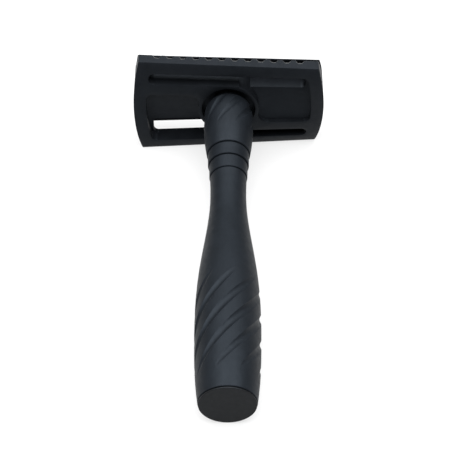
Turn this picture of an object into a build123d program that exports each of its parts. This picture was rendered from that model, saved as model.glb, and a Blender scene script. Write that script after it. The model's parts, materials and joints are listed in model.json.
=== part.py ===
"""Double-edge slant safety razor: cap, base plate and handle, unloaded, lying on its side."""

import os
from math import cos, degrees, pi, radians, sin, sqrt

from build123d import *

# Every piece is modelled with the handle upright and the head closed: Z runs up the handle from
# its lower end, X runs along the blade and -Y is the razor's front. At the end all of them are
# laid down together, with the handle's end and the rear guard edge on the ground.

# ---- driving dimensions, in millimetres and degrees ----
# Head
GUARD_Z = 85.6  # height of the guard edges above the handle's end, on the handle's axis
TWIST = degrees(0.00509)  # slant of the head, in degrees per millimetre along the blade
GUARD_DEPTH = 12.35  # from the handle's axis to each guard face
HEAD_LENGTH = 44.2  # along the blade, between the tops of the bowed ends
END_BOW = 1.55  # how far each end bows out between its corners
SECTION_REACH = 23.0  # where the head's outermost drawn cross-sections stand

# Base plate, heights measured from the guard edges
GUARD_REACH = 13.1  # the section is drawn past the guard faces, which are then milled straight
GUARD_FOOT = -0.1  # height of each guard face's lower edge
GUARD_HEIGHT = 2.65
GUARD_FALL = 0.14  # the guard's top falls outward from the shelf
BELLY_DROP = 1.47
SLOT_INNER = 7.0
SLOT_OUTER = 9.73
SLOT_END = 18.4
WIDE_SLOT_END = 17.85
WIDE_SLOT_CORNER = 1.15
SHELF_EDGE = 9.4
SEAT_HALF = 7.1
WIDE_SLOT_INNER = 4.9
POCKET_DEEP = 1.15
POCKET_SHALLOW = -0.4
POCKET_FAR_SIDE = 4.3
POCKET_START = 2.5
POCKET_CORNER = 1.5
BOSS_CORNER = 2.5
END_WALL = 2.9
BOSS_RADIUS = 7.03
RECESS_RADIUS = 6.25
RECESS_FLOOR = 0.8

# Guard scallops
SCALLOPS = 12
SCALLOP_PITCH = 2.98
SCALLOP_DEPTH = 0.61
SCALLOP_TOP = 2.15
SCALLOP_BOTTOM = 0.95
SCALLOP_ROUND = 0.28
SCALLOP_SLOPE = 55.0  # the scallops are cut upwards at this angle from the guard's face
EDGE_BREAK = 0.07

# Cap
SEAT_RADIUS = 30.0
CAP_DEPTH = 9.6
CAP_REACH = 10.3  # the section is drawn past the cap's edges, which are then milled straight
CAP_EDGE_Z = 5.6
CAP_EDGE_THICK = 0.3
CAP_RIM_START = 8.4  # a nearly flat rim runs round the dome
CAP_RIM_FALL = 0.2
CAP_TOP_Z = 8.8
BLADE_GAP = 0.10
CAP_END_INSET = 0.12

# Threaded stud and guide pins
STUD_RADIUS = 2.45
STUD_BOTTOM = 78.4
STUD_HOLD = 1.1
PIN_RADIUS = 1.0
PIN_SPACING = 21.5
PIN_LENGTH = 2.8
RUNNING_GAP = 0.05

# Handle, heights measured from its lower end
PLUG_THICK = 0.3
PLUG_RADIUS = 5.83
PLUG_SEAM = 0.2
PLUG_EDGE = 0.08
PLUG_STEM_END = 6.0
HANDLE_BORE = 4.2
BORE_END = 34.0
BORE_TIP = 38.0
NECK_TOP = 84.45
SPIGOT_RADIUS = 4.0
SPIGOT_TOP = GUARD_Z + RECESS_FLOOR - RUNNING_GAP
INSERT_RADIUS = 3.3
INSERT_LENGTH = 10.0
DRILL_END = 70.0
GROOVE_DEPTH = 0.18
GROOVE_WIDTH = 0.32
EDGE_ROUND = 0.12

# Helical scoops in the grip and the neck
SCOOPS = 8
SCOOP_LEAD = 53.3
GRIP_TOOL = 1.41
GRIP_SCOOP_DEPTH = 0.32
GRIP_SCOOP_START = 5.1
GRIP_SCOOP_END = 29.7
GRIP_SCOOP_ANGLE = -21.3
NECK_TOOL = 1.6
NECK_SCOOP_START = 75.1
NECK_SCOOP_SLOPE = 0.055
NECK_SCOOP_ANGLE = -26.0

# Lying on its side
LYING_TILT = 4.275  # the handle's axis rises by this angle towards the head

HALF_LENGTH = HEAD_LENGTH / 2
END_RADIUS = (GUARD_DEPTH**2 + END_BOW**2) / (2 * END_BOW)
CAP_CENTRE_Z = CAP_EDGE_Z + SEAT_RADIUS - sqrt(SEAT_RADIUS**2 - CAP_DEPTH**2)
SEAT_CENTRE_Z = CAP_CENTRE_Z - BLADE_GAP
SEAT_EDGE_Z = SEAT_CENTRE_Z - SEAT_RADIUS + sqrt(SEAT_RADIUS**2 - SEAT_HALF**2)
SHELF_Z = GUARD_HEIGHT + GUARD_FALL * (GUARD_DEPTH - SHELF_EDGE)
STATIONS = [SECTION_REACH * step / 2 for step in (-2, -1, 0, 1, 2)]


def across(x):
    """The head's cross-section plane at x: local x points rearward and local y points up."""
    turn = radians(TWIST * x)
    return Plane(origin=(x, 0, GUARD_Z), x_dir=(0, cos(turn), sin(turn)), z_dir=(1, 0, 0))


def facing(side, height=0.0):
    """A level plane at a height above the guard edges; side -1 is the other half turn."""
    return Plane(origin=(0, 0, GUARD_Z + height), x_dir=(side, 0, 0), z_dir=(0, 0, 1))


def head_outline(depth, inset):
    """The plan of a head piece inside the current sketch: two straight edges and two bowed ends."""
    Rectangle(HEAD_LENGTH + 4, 2 * depth)
    for side in (-1, 1):
        with Locations((side * (HALF_LENGTH - END_RADIUS), 0)):
            Circle(END_RADIUS - inset, mode=Mode.INTERSECT)


# ---- base plate: guards, lather slots, pockets, handle recess ----
def floor_height(depth):
    """Height of a pocket's sloping floor: shallow at the far side, deep at the wide slot."""
    fall = (POCKET_DEEP - POCKET_SHALLOW) / (POCKET_FAR_SIDE + WIDE_SLOT_INNER)
    return POCKET_SHALLOW + fall * (POCKET_FAR_SIDE - depth)


def pocket_cutter(side):
    """The pocket in one half of the plate's underside."""
    with BuildPart() as under_floor:
        for x in (0, side * SECTION_REACH / 2, side * SECTION_REACH):
            with BuildSketch(across(x)):
                with BuildLine():
                    Polyline(
                        (-side * 14, floor_height(-14)),
                        (side * 14, floor_height(14)),
                        (side * 14, -6),
                        (-side * 14, -6),
                        close=True,
                    )
                make_face()
        loft()
    with BuildPart() as cutter:
        with BuildSketch(facing(side, -3)) as pocket_plan:
            with Locations((POCKET_START, POCKET_FAR_SIDE)):
                Rectangle(HALF_LENGTH, POCKET_FAR_SIDE + SLOT_OUTER, align=(Align.MIN, Align.MAX))
            with Locations((HALF_LENGTH - END_RADIUS, 0)):
                Circle(END_RADIUS - END_WALL, mode=Mode.INTERSECT)
            Circle(BOSS_RADIUS, mode=Mode.SUBTRACT)
            fillet(pocket_plan.vertices().sort_by(Axis.X)[2], BOSS_CORNER)
            fillet(pocket_plan.vertices().sort_by(Axis.X)[-2:], POCKET_CORNER)
        extrude(amount=6)
        add(under_floor.part, mode=Mode.INTERSECT)
    return cutter.part


with BuildPart() as slot_cutters:
    for side in (1, -1):
        with BuildSketch(facing(side, -3)) as slot_plan:
            with Locations((-SLOT_END, -(SLOT_INNER + SLOT_OUTER) / 2)):
                narrow_size = (SLOT_END + POCKET_START + SLOT_INNER, SLOT_OUTER - SLOT_INNER)
                SlotOverall(*narrow_size, align=(Align.MIN, Align.CENTER))
        extrude(amount=14)
        with BuildSketch(facing(side, -3)) as wide_plan:
            with Locations((POCKET_START, -WIDE_SLOT_INNER)):
                wide_size = (WIDE_SLOT_END - POCKET_START, SLOT_OUTER - WIDE_SLOT_INNER)
                Rectangle(*wide_size, align=(Align.MIN, Align.MAX))
            Circle(BOSS_RADIUS, mode=Mode.SUBTRACT)
            fillet(wide_plan.vertices().sort_by(Axis.X)[-2:], WIDE_SLOT_CORNER)
        extrude(amount=14)


def comb_plane(side):
    """Plane of the scallop cutter: it stands square to the cut, in line with the slanted guard."""
    slope = radians(SCALLOP_SLOPE)
    slant = radians(TWIST) * (GUARD_DEPTH - GUARD_FALL * GUARD_HEIGHT) * side
    edge = (0, side * GUARD_DEPTH, GUARD_Z + GUARD_HEIGHT)
    outward = Vector(0, side * cos(slope), -sin(slope))
    along = Vector(cos(slant), 0, sin(slant))
    return Plane(origin=edge, x_dir=along, z_dir=outward.cross(along).cross(along) * -1)


with BuildPart() as scallop_cutters:
    for side in (1, -1):
        with BuildSketch(comb_plane(side).offset(1.0)) as comb:
            with BuildLine():
                up = 1 if comb_plane(side).y_dir.Z > 0 else -1
                reach = HALF_LENGTH + 1
                land = -EDGE_BREAK
                wave = [(-reach, up * land)]
                for i in range(SCALLOPS):
                    middle = (i - (SCALLOPS - 1) / 2) * SCALLOP_PITCH
                    wave.append((middle - SCALLOP_TOP / 2, up * land))
                    wave.append((middle - SCALLOP_BOTTOM / 2, up * (land - SCALLOP_DEPTH)))
                    wave.append((middle + SCALLOP_BOTTOM / 2, up * (land - SCALLOP_DEPTH)))
                    wave.append((middle + SCALLOP_TOP / 2, up * land))
                wave.append((reach, up * land))
                wave.append((reach, up * 1.5))
                wave.append((-reach, up * 1.5))
                Polyline(*wave, close=True)
            make_face()
            wave_corners = comb.vertices().filter_by(lambda v: abs(v.X) < HALF_LENGTH)
            fillet(wave_corners, SCALLOP_ROUND)
        extrude(amount=-4.0)

with BuildPart() as base_plate:
    for x in STATIONS:
        with BuildSketch(across(x)):
            with BuildLine():
                toe = GUARD_FOOT + 0.32
                Spline(
                    (-GUARD_REACH, toe), (-GUARD_DEPTH, GUARD_FOOT), (-SLOT_OUTER, -0.83),
                    (0, -BELLY_DROP),
                    (SLOT_OUTER, -0.83), (GUARD_DEPTH, GUARD_FOOT), (GUARD_REACH, toe),
                )
                for side in (-1, 1):
                    Polyline(
                        (side * GUARD_REACH, toe),
                        (side * GUARD_REACH, GUARD_HEIGHT - GUARD_FALL * (GUARD_REACH - GUARD_DEPTH)),
                        (side * SHELF_EDGE, SHELF_Z),
                        (side * SEAT_HALF, SHELF_Z),
                        (side * SEAT_HALF, SEAT_EDGE_Z),
                    )
                ThreePointArc((-SEAT_HALF, SEAT_EDGE_Z), (0, SEAT_CENTRE_Z), (SEAT_HALF, SEAT_EDGE_Z))
            make_face()
    loft()
    with BuildSketch(facing(1, -6)):
        head_outline(GUARD_DEPTH, 0)
    extrude(amount=20, mode=Mode.INTERSECT)
    add(slot_cutters.part, mode=Mode.SUBTRACT)
    add(pocket_cutter(1), mode=Mode.SUBTRACT)
    add(pocket_cutter(-1), mode=Mode.SUBTRACT)
    add(scallop_cutters.part, mode=Mode.SUBTRACT)
    with BuildSketch(facing(1, RECESS_FLOOR)):
        Circle(RECESS_RADIUS)
    extrude(amount=-6, mode=Mode.SUBTRACT)
    with BuildSketch(facing(1, -6)):
        Circle(STUD_RADIUS + RUNNING_GAP)
    extrude(amount=20, mode=Mode.SUBTRACT)
    with BuildSketch(facing(1, CAP_CENTRE_Z - PIN_LENGTH - 0.4)):
        with GridLocations(PIN_SPACING, 0, 2, 1):
            Circle(PIN_RADIUS + RUNNING_GAP)
    extrude(amount=6, mode=Mode.SUBTRACT)

# ---- cap, with its fixed stud and guide pins ----
with BuildPart() as top_cap:
    for x in STATIONS:
        with BuildSketch(across(x)):
            with BuildLine():
                edge = CAP_CENTRE_Z - SEAT_RADIUS + sqrt(SEAT_RADIUS**2 - CAP_REACH**2)
                brow = CAP_EDGE_Z + CAP_EDGE_THICK
                dome_edge = brow + CAP_RIM_FALL * (CAP_DEPTH - CAP_RIM_START)
                rim_edge = brow - CAP_RIM_FALL * (CAP_REACH - CAP_DEPTH)
                ThreePointArc((-CAP_REACH, edge), (0, CAP_CENTRE_Z), (CAP_REACH, edge))
                ThreePointArc((-CAP_RIM_START, dome_edge), (0, CAP_TOP_Z), (CAP_RIM_START, dome_edge))
                for side in (-1, 1):
                    Polyline(
                        (side * CAP_REACH, edge),
                        (side * CAP_REACH, rim_edge),
                        (side * CAP_RIM_START, dome_edge),
                    )
            make_face()
    loft()
    with BuildSketch(facing(1, 3)):
        head_outline(CAP_DEPTH, CAP_END_INSET)
    extrude(amount=10, mode=Mode.INTERSECT)
    with BuildSketch(facing(1, CAP_CENTRE_Z + STUD_HOLD)):
        Circle(STUD_RADIUS)
    extrude(amount=-4, mode=Mode.SUBTRACT)
    with BuildSketch(facing(1, CAP_CENTRE_Z + STUD_HOLD - 0.2)):
        with GridLocations(PIN_SPACING, 0, 2, 1):
            Circle(PIN_RADIUS)
    extrude(amount=-4, mode=Mode.SUBTRACT)

with BuildPart() as cap_stud:
    with BuildSketch(Plane.XY.offset(STUD_BOTTOM)):
        Circle(STUD_RADIUS)
    extrude(amount=GUARD_Z + CAP_CENTRE_Z + STUD_HOLD - STUD_BOTTOM)
    chamfer(cap_stud.edges().sort_by(Axis.Z)[0], 0.5)


def guide_pin(side):
    """One guide pin, held in the cap and reaching through the blade into the base plate."""
    with BuildPart() as pin:
        with BuildSketch(facing(1, CAP_CENTRE_Z - PIN_LENGTH)):
            with Locations((side * PIN_SPACING / 2, 0)):
                Circle(PIN_RADIUS)
        extrude(amount=PIN_LENGTH + STUD_HOLD - 0.2)
        chamfer(pin.edges().sort_by(Axis.Z)[0], 0.25)
    return pin


guide_pin_left = guide_pin(-1)
guide_pin_right = guide_pin(1)

# ---- handle ----
RING_STEPS = ((61.8, 4.08, 4.25), (65.5, 4.33, 4.60), (69.1, 4.68, 4.93))


def ring(height, below, above):
    """Profile points of one ring step: a fine groove under a rounded, wider edge."""
    return [
        (below, height - GROOVE_WIDTH - 0.1),
        (below - GROOVE_DEPTH, height - GROOVE_WIDTH),
        (below - GROOVE_DEPTH, height),
        (above - EDGE_ROUND, height),
        (above, height + EDGE_ROUND),
    ]


def scoop_path(start, end, angle, centre_radius):
    """Helical path of a scooping tool, with its centre at centre_radius(height)."""
    steps = 8
    points = []
    for i in range(steps + 1):
        height = start + (end - start) * i / steps
        turn = radians(angle) + 2 * pi * (height - start) / SCOOP_LEAD
        radius = centre_radius(height)
        points.append((radius * sin(turn), -radius * cos(turn), height))
    return points


def grip_surface(height):
    """Radius of the grip's barrel at a height, between its ends."""
    return 6.80 - 0.00245 * (height - 17.4) ** 2


def neck_surface(height):
    """Radius of the neck at a height, between the upper ring and the rounded top."""
    return 5.64 - 0.0072 * (height - 79.0) ** 2


def grip_tool_radius(height):
    middle = (GRIP_SCOOP_START + GRIP_SCOOP_END) / 2
    half = (GRIP_SCOOP_END - GRIP_SCOOP_START) / 2
    depth = GRIP_SCOOP_DEPTH * (1 - ((height - middle) / half) ** 2)
    return grip_surface(height) + GRIP_TOOL - depth


def neck_tool_radius(height):
    depth = NECK_SCOOP_SLOPE * (height - NECK_SCOOP_START)
    return neck_surface(height) + NECK_TOOL - depth


def scoop_tool(points, radius):
    """One scoop: a round tool moved along its path."""
    with BuildPart() as tool:
        with BuildLine() as path:
            Spline(*points)
        with BuildSketch(Plane(origin=path.line @ 0, z_dir=path.line % 0)):
            Circle(radius)
        sweep()
    return tool.part


SCOOP_OVERRUN = 2.0
SCOOP_TURN = degrees(2 * pi * SCOOP_OVERRUN / SCOOP_LEAD)
grip_tool = scoop_tool(
    scoop_path(
        GRIP_SCOOP_START - SCOOP_OVERRUN,
        GRIP_SCOOP_END + SCOOP_OVERRUN,
        GRIP_SCOOP_ANGLE - SCOOP_TURN,
        grip_tool_radius,
    ),
    GRIP_TOOL,
)
neck_tool = scoop_tool(
    scoop_path(
        NECK_SCOOP_START - SCOOP_OVERRUN,
        NECK_TOP + SCOOP_OVERRUN,
        NECK_SCOOP_ANGLE - SCOOP_TURN,
        neck_tool_radius,
    ),
    NECK_TOOL,
)

with BuildPart() as handle_body:
    with BuildSketch(Plane.XZ):
        with BuildLine():
            foot = PLUG_THICK + PLUG_SEAM
            lowest, middle, highest = (ring(*step) for step in RING_STEPS)
            Polyline((HANDLE_BORE, foot), (5.86, foot), (5.97, foot + 0.12))
            Spline(
                (5.97, foot + 0.12), (6.43, 5.0), (6.80, 14.0), (6.74, 25.5), (6.11, 34.4),
                (4.87, 44.2), (4.05, 52.5), (3.98, 58.5), lowest[0],
            )
            Polyline(*lowest, *middle, *highest)
            Spline(highest[-1], (5.46, 73.7), (5.64, 78.6), (5.5, 82.6))
            Spline((5.5, 82.6), (5.22, 83.75), (4.5, NECK_TOP), tangents=[(-0.06, 1), (-1, 0.12)])
            Polyline(
                (4.5, NECK_TOP), (SPIGOT_RADIUS, NECK_TOP), (SPIGOT_RADIUS, SPIGOT_TOP),
                (INSERT_RADIUS, SPIGOT_TOP), (INSERT_RADIUS, SPIGOT_TOP - INSERT_LENGTH),
                (STUD_RADIUS + 0.2, SPIGOT_TOP - INSERT_LENGTH), (STUD_RADIUS + 0.2, DRILL_END),
                (0, DRILL_END - 1.5), (0, BORE_TIP), (HANDLE_BORE, BORE_END), (HANDLE_BORE, foot),
            )
        make_face()
    revolve(axis=Axis.Z)
    with PolarLocations(0, SCOOPS):
        add(grip_tool, mode=Mode.SUBTRACT)
        add(neck_tool, mode=Mode.SUBTRACT)

with BuildPart() as thread_insert:
    with BuildSketch(Plane.XY.offset(SPIGOT_TOP - INSERT_LENGTH)):
        Circle(INSERT_RADIUS)
        Circle(STUD_RADIUS + RUNNING_GAP, mode=Mode.SUBTRACT)
    extrude(amount=INSERT_LENGTH)

with BuildPart() as end_plug:
    with BuildSketch():
        Circle(PLUG_RADIUS)
    extrude(amount=PLUG_THICK)
    chamfer(end_plug.edges().sort_by(Axis.Z)[0], PLUG_EDGE)
    with BuildSketch(Plane.XY.offset(PLUG_THICK)):
        Circle(HANDLE_BORE)
    extrude(amount=PLUG_STEM_END - PLUG_THICK)

# ---- lay the razor down, with the origin on the ground under the middle of its box ----
PIECES = {
    "top_cap": top_cap,
    "cap_stud": cap_stud,
    "guide_pin_left": guide_pin_left,
    "guide_pin_right": guide_pin_right,
    "base_plate": base_plate,
    "handle_body": handle_body,
    "thread_insert": thread_insert,
    "end_plug": end_plug,
}
tilt = radians(LYING_TILT)
lying = Plane(origin=(0, 0, 0), x_dir=(1, 0, 0), z_dir=(0, cos(tilt), sin(tilt))).location
for piece in PIECES.values():
    piece.part.move(lying)
surface = [point for piece in PIECES.values() for point in piece.part.tessellate(0.01, 0.1)[0]]
far_end = min(point.Y for point in surface)
near_end = max(point.Y for point in surface)
ground = min(point.Z for point in surface)
to_ground = Location((0, -(far_end + near_end) / 2, -ground))
print("laid down by", to_ground.position)

os.makedirs("parts", exist_ok=True)
for name, piece in PIECES.items():
    piece.part.move(to_ground)
    piece.part.label = name
    export_step(piece.part, f"parts/{name}.step")
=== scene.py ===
import json
from math import atan2, cos, degrees, pi, radians, sin

import bpy
from mathutils import Matrix, Vector


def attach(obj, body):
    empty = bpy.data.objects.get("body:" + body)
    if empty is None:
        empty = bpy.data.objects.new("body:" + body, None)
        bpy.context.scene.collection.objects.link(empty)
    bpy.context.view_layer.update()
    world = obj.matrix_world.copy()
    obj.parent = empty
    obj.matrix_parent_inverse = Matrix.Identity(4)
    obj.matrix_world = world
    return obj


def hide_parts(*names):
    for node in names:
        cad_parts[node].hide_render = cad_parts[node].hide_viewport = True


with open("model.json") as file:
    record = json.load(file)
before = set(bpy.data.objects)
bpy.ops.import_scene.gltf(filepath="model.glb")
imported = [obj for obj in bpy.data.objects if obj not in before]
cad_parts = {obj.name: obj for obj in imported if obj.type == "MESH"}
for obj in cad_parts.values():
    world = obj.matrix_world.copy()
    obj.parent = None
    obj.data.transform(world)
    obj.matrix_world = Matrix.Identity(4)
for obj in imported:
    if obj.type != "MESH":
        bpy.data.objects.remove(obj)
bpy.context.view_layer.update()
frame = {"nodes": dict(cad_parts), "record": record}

MM = 0.001
scene = bpy.context.scene
nodes = frame["nodes"]

# ---- the razor's own axes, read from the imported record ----
mounts = {mount["name"]: mount for mount in frame["record"]["mounts"]}
FOOT = Vector(mounts["handle_end"]["pos_m"])
UP = -Vector(mounts["handle_end"]["axis"]).normalized()
SIDE = Vector((1, 0, 0))
REAR = UP.cross(SIDE)
LYING_TILT = atan2(UP.z, UP.y)


def place(x, y, height):
    """A point given in millimetres across, rearward and up the handle."""
    return FOOT + (SIDE * x + REAR * y + UP * height) * MM


# ---- materials ----
NOISE_LOW = 0.3
NOISE_HIGH = 0.7


class Finish:
    """A node material whose texture space runs up the handle's axis, in millimetres."""

    def __init__(self, name, color, roughness, specular, metallic=0.0, tint=(1, 1, 1)):
        self.material = bpy.data.materials.new(name)
        self.material.use_nodes = True
        self.tree = self.material.node_tree
        self.shader = self.tree.nodes["Principled BSDF"]
        self.color = color
        self.shader.inputs["Metallic"].default_value = metallic
        self.shader.inputs["Specular IOR Level"].default_value = specular
        self.shader.inputs["Specular Tint"].default_value = (*tint, 1)
        self.shader.inputs["Roughness"].default_value = roughness
        coords = self.node("ShaderNodeTexCoord").outputs["Object"]
        mapping = self.node("ShaderNodeMapping")
        mapping.vector_type = "TEXTURE"
        mapping.inputs["Location"].default_value = FOOT
        mapping.inputs["Rotation"].default_value = (LYING_TILT - pi / 2, 0, 0)
        mapping.inputs["Scale"].default_value = (MM, MM, MM)
        self.link(coords, mapping.inputs["Vector"])
        self.space = mapping.outputs["Vector"]
        self.normal = None

    def node(self, kind):
        return self.tree.nodes.new(kind)

    def link(self, source, target):
        self.tree.links.new(source, target)

    def noise(self, per_mm, detail, rough=0.5):
        node = self.node("ShaderNodeTexNoise")
        node.inputs["Scale"].default_value = per_mm
        node.inputs["Detail"].default_value = detail
        node.inputs["Roughness"].default_value = rough
        self.link(self.space, node.inputs["Vector"])
        return node.outputs["Fac"]

    def lines(self, kind, spacing, distortion):
        """Turned lines, a spacing apart in millimetres: RINGS on a face, BANDS round a shaft."""
        node = self.node("ShaderNodeTexWave")
        node.wave_type = kind
        node.rings_direction = "Z"
        node.bands_direction = "Z"
        node.inputs["Scale"].default_value = pi / 10 / spacing
        node.inputs["Distortion"].default_value = distortion
        self.link(self.space, node.inputs["Vector"])
        return node.outputs["Fac"]

    def spread(self, value, low, high):
        """Noise stretched to run from low to high."""
        node = self.node("ShaderNodeMapRange")
        node.inputs["From Min"].default_value = NOISE_LOW
        node.inputs["From Max"].default_value = NOISE_HIGH
        node.inputs["To Min"].default_value = low
        node.inputs["To Max"].default_value = high
        self.link(value, node.inputs["Value"])
        return node.outputs["Result"]

    def shade(self, value, swing):
        """Colour that wanders about the finish's own colour by a share of it."""
        node = self.node("ShaderNodeMix")
        node.data_type = "RGBA"
        node.inputs["A"].default_value = (*(part * (1 - swing) for part in self.color), 1)
        node.inputs["B"].default_value = (*(part * (1 + swing) for part in self.color), 1)
        self.link(self.spread(value, 0.0, 1.0), node.inputs["Factor"])
        self.link(node.outputs["Result"], self.shader.inputs["Base Color"])

    def polish(self, value, low, high):
        """Roughness that wanders from low to high."""
        self.link(self.spread(value, low, high), self.shader.inputs["Roughness"])

    def relief(self, value, depth):
        """A bump of the given depth in millimetres, on top of any before it."""
        node = self.node("ShaderNodeBump")
        node.inputs["Strength"].default_value = 1.0
        node.inputs["Distance"].default_value = depth * MM
        self.link(value, node.inputs["Height"])
        if self.normal:
            self.link(self.normal, node.inputs["Normal"])
        self.normal = node.outputs["Normal"]
        self.link(self.normal, self.shader.inputs["Normal"])


COATING_TINT = (0.70, 0.84, 1.0)
COATING_PATCHES_PER_MM = 0.35
COATING_POLISH_PER_MM = 0.8
GRAIN_PER_MM = 7.0
COATING_SWING = 0.18
POLISH_SWING = 0.05
TURNED_SHARE = 0.6


def coating(name, color, roughness, specular, grain, turned=None):
    """Matt black coating: blasted grain, soft uneven patches, and the turning it covers."""
    finish = Finish(name, color, roughness, specular, tint=COATING_TINT)
    finish.shade(finish.noise(COATING_PATCHES_PER_MM, 4.0, 0.6), COATING_SWING)
    finish.polish(finish.noise(COATING_POLISH_PER_MM, 3.0),
                  roughness - POLISH_SWING, roughness + POLISH_SWING)
    finish.relief(finish.noise(GRAIN_PER_MM, 2.0, 0.6), grain)
    if turned:
        finish.relief(finish.lines(*turned), grain * TURNED_SHARE)
    return finish


METAL_PATCHES_PER_MM = 1.2
METAL_POLISH_PER_MM = 2.5
METAL_SWING = 0.08
METAL_SMOOTHER = 0.06
METAL_ROUGHER = 0.08
METAL_RELIEF = 0.003


def bare_metal(name, color, roughness, turned):
    """Turned metal: bright, with fine lines left by the tool."""
    finish = Finish(name, color, roughness, 0.5, metallic=1.0)
    finish.shade(finish.noise(METAL_PATCHES_PER_MM, 3.0), METAL_SWING)
    finish.polish(finish.noise(METAL_POLISH_PER_MM, 3.0),
                  roughness - METAL_SMOOTHER, roughness + METAL_ROUGHER)
    finish.relief(finish.lines(*turned), METAL_RELIEF)
    return finish


HEAD = coating("head_coating", (0.0036, 0.0041, 0.0050), 0.48, 0.11, 0.006)
HANDLE = coating("handle_coating", (0.0036, 0.0044, 0.0056), 0.50, 0.115, 0.006,
                 ("BANDS", 0.16, 0.4))
PLUG = coating("plug_coating", (0.0045, 0.0043, 0.0042), 0.50, 0.13, 0.005,
               ("RINGS", 0.22, 0.2))
STEEL = bare_metal("stud_steel", (0.42, 0.42, 0.43), 0.32, ("BANDS", 0.09, 0.6))
BRASS = bare_metal("insert_brass", (0.62, 0.47, 0.20), 0.30, ("RINGS", 0.12, 0.3))

FINISHES = {
    "top_cap": HEAD, "base_plate": HEAD, "handle_body": HANDLE, "end_plug": PLUG,
    "cap_stud": STEEL, "guide_pin_left": STEEL, "guide_pin_right": STEEL,
    "thread_insert": BRASS,
}
for name, finish in FINISHES.items():
    mesh = nodes[name].data
    mesh.materials.clear()
    mesh.materials.append(finish.material)

# ---- thread ----
PITCH = 0.8
STUD_CREST = 2.45
STUD_ROOT = 2.02
ROOT_FLAT = 0.12
FLANK = 0.70
PLAIN_NECK = 2.2
LEAD_IN = 0.5
THREAD_PLAY = 0.07
INSERT_OUTER = 3.3
COUNTERSINK = 0.45
COUNTERSINK_SLOPE = 1.2
AROUND = 96
STEPS_PER_PITCH = 10


def thread_shape(turn, height):
    """How far up its flank a right-handed thread stands, from root 0 to crest 1."""
    phase = (height / PITCH - turn / (2 * pi)) % 1.0
    rise = 1 - abs(2 * phase - 1)
    return min(max((rise - ROOT_FLAT) / FLANK, 0.0), 1.0)


def skin(name, rows, capped):
    """A closed skin over rings of points: a rod capped at its ends, or a hollow ring."""
    count = len(rows[0])
    verts = [point for row in rows for point in row]
    faces = []
    for i in range(len(rows) - 1 if capped else len(rows)):
        a, b = i * count, (i + 1) % len(rows) * count
        for j in range(count):
            k = (j + 1) % count
            faces.append((a + j, a + k, b + k, b + j))
    if capped:
        faces.append(tuple(range(count))[::-1])
        faces.append(tuple(len(verts) - count + j for j in range(count)))
    else:
        faces = [face[::-1] for face in faces]
    mesh = bpy.data.meshes.new(name)
    mesh.from_pydata(verts, [], faces)
    mesh.update()
    piece = bpy.data.objects.new(name, mesh)
    scene.collection.objects.link(piece)
    return piece


def circle_of(radius_at, height):
    ring = []
    for j in range(AROUND):
        turn = 2 * pi * j / AROUND
        radius = radius_at(turn, height)
        ring.append(place(radius * cos(turn), radius * sin(turn), height))
    return ring


def plain_circle(radius, height):
    return circle_of(lambda turn, at: radius, height)


def heights(low, high):
    count = round((high - low) / PITCH * STEPS_PER_PITCH)
    return [low + (high - low) * i / count for i in range(count + 1)]


def reach(name):
    """The lowest and highest points of a CAD node up the handle's axis, in millimetres."""
    spots = [(Vector(vertex.co) - FOOT).dot(UP) / MM for vertex in nodes[name].data.vertices]
    return min(spots), max(spots)


stud_low, stud_high = reach("cap_stud")
neck_low = stud_high - PLAIN_NECK


def stud_radius(turn, height):
    """The thread, led in at the tip and running out at full radius under the plain neck."""
    lead = min((height - stud_low) / LEAD_IN, 1.0)
    fade = min(max((neck_low - height) / PITCH, 0.0), 1.0)
    thread = STUD_ROOT + (STUD_CREST - STUD_ROOT) * max(thread_shape(turn, height), 1 - fade)
    return min(thread, STUD_CREST - LEAD_IN * (1 - lead))


rows = [circle_of(stud_radius, height) for height in heights(stud_low, neck_low)]
rows.append(plain_circle(STUD_CREST, stud_high))
stud = skin("threaded_stud", rows, True)
stud.data.materials.append(STEEL.material)
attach(stud, "cap")
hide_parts("cap_stud")

insert_low, insert_high = reach("thread_insert")


def insert_bore(turn, height):
    """The stud's thread with play, countersunk at both ends."""
    thread = STUD_ROOT + (STUD_CREST - STUD_ROOT) * thread_shape(turn, height) + THREAD_PLAY
    end = min(height - insert_low, insert_high - height)
    return max(thread, STUD_CREST + THREAD_PLAY + COUNTERSINK - end * COUNTERSINK_SLOPE)


rows = [circle_of(insert_bore, height) for height in heights(insert_low, insert_high)]
rows.append(plain_circle(INSERT_OUTER, insert_high))
rows.append(plain_circle(INSERT_OUTER, insert_low))
insert = skin("threaded_insert", rows, False)
insert.data.materials.append(BRASS.material)
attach(insert, "handle")
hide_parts("thread_insert")

# ---- softly broken edges on the coated pieces, each width in millimetres ----
WELD_GAP = 0.0005
SHARP_ANGLE = 32
EDGE_WIDTHS = {"base_plate": 0.08, "top_cap": 0.06, "end_plug": 0.04}
for name, width in EDGE_WIDTHS.items():
    weld = nodes[name].modifiers.new("weld", "WELD")
    weld.merge_threshold = WELD_GAP * MM
    bevel = nodes[name].modifiers.new("broken_edges", "BEVEL")
    bevel.width = width * MM
    bevel.segments = 2
    bevel.limit_method = "ANGLE"
    bevel.angle_limit = radians(SHARP_ANGLE)
    bevel.use_clamp_overlap = True
    bevel.harden_normals = False

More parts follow.
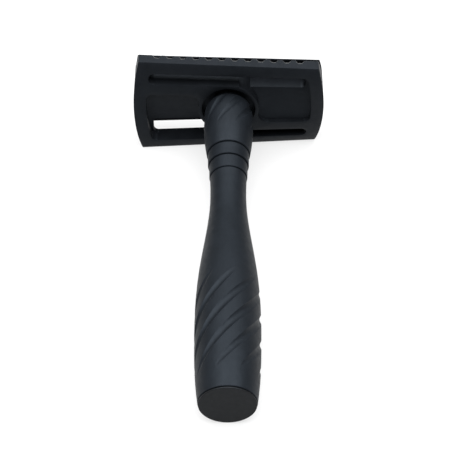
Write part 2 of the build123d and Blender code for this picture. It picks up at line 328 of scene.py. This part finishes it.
# ---- floor ----
FLOOR_HALF = 1.2
FLOOR_GREY = 0.15
FLOOR_GLOW = 0.66
corners = ((-1, -1), (1, -1), (1, 1), (-1, 1))
floor_mesh = bpy.data.meshes.new("floor")
floor_mesh.from_pydata(
    [(FLOOR_HALF * x, FLOOR_HALF * y, 0) for x, y in corners], [], [(0, 1, 2, 3)])
floor = bpy.data.objects.new("floor", floor_mesh)
scene.collection.objects.link(floor)
floor_material = bpy.data.materials.new("floor_white")
floor_material.use_nodes = True
floor_shader = floor_material.node_tree.nodes["Principled BSDF"]
floor_shader.inputs["Base Color"].default_value = (FLOOR_GREY, FLOOR_GREY, FLOOR_GREY, 1)
floor_shader.inputs["Roughness"].default_value = 0.9
floor_shader.inputs["Specular IOR Level"].default_value = 0.0
floor_shader.inputs["Emission Color"].default_value = (1, 1, 1, 1)
floor_shader.inputs["Emission Strength"].default_value = FLOOR_GLOW
floor_mesh.materials.append(floor_material)

# ---- light: a pale sky and one large softbox overhead, facing straight down ----
SKY_COLOR = (0.90, 0.95, 1.0)
SKY_STRENGTH = 0.25
SOFTBOX_AT = (0.0, -0.05, 1.0)
SOFTBOX_SIZE = (1.9, 1.6)
SOFTBOX_POWER = 76
world = bpy.data.worlds.new("studio")
world.use_nodes = True
background = world.node_tree.nodes["Background"]
background.inputs["Color"].default_value = (*SKY_COLOR, 1)
background.inputs["Strength"].default_value = SKY_STRENGTH
scene.world = world
softbox_data = bpy.data.lights.new("overhead", "AREA")
softbox_data.shape = "RECTANGLE"
softbox_data.size, softbox_data.size_y = SOFTBOX_SIZE
softbox_data.energy = SOFTBOX_POWER
softbox = bpy.data.objects.new("overhead", softbox_data)
softbox.location = SOFTBOX_AT
scene.collection.objects.link(softbox)

# ---- camera: angles in degrees, the pitch below the horizontal ----
CAMERA_AT = place(1.862, -241.62, -172.41)
PITCH_FROM_HANDLE = 47.85
CAMERA_PITCH = PITCH_FROM_HANDLE - degrees(LYING_TILT)
CAMERA_YAW = -0.258
CAMERA_ROLL = 0.097
FOCAL_LENGTH = 118.03
SENSOR_WIDTH = 36.0
NEAREST = 0.01
camera_data = bpy.data.cameras.new("camera")
camera_data.lens = FOCAL_LENGTH
camera_data.sensor_width = SENSOR_WIDTH
camera_data.clip_start = NEAREST
camera = bpy.data.objects.new("camera", camera_data)
pitch = Matrix.Rotation(radians(90 - CAMERA_PITCH), 4, "X")
yaw = Matrix.Rotation(radians(-CAMERA_YAW), 4, "Y")
roll = Matrix.Rotation(radians(-CAMERA_ROLL), 4, "Z")
camera.matrix_world = Matrix.Translation(CAMERA_AT) @ pitch @ yaw @ roll
scene.collection.objects.link(camera)
scene.camera = camera
scene.view_settings.view_transform = "Standard"
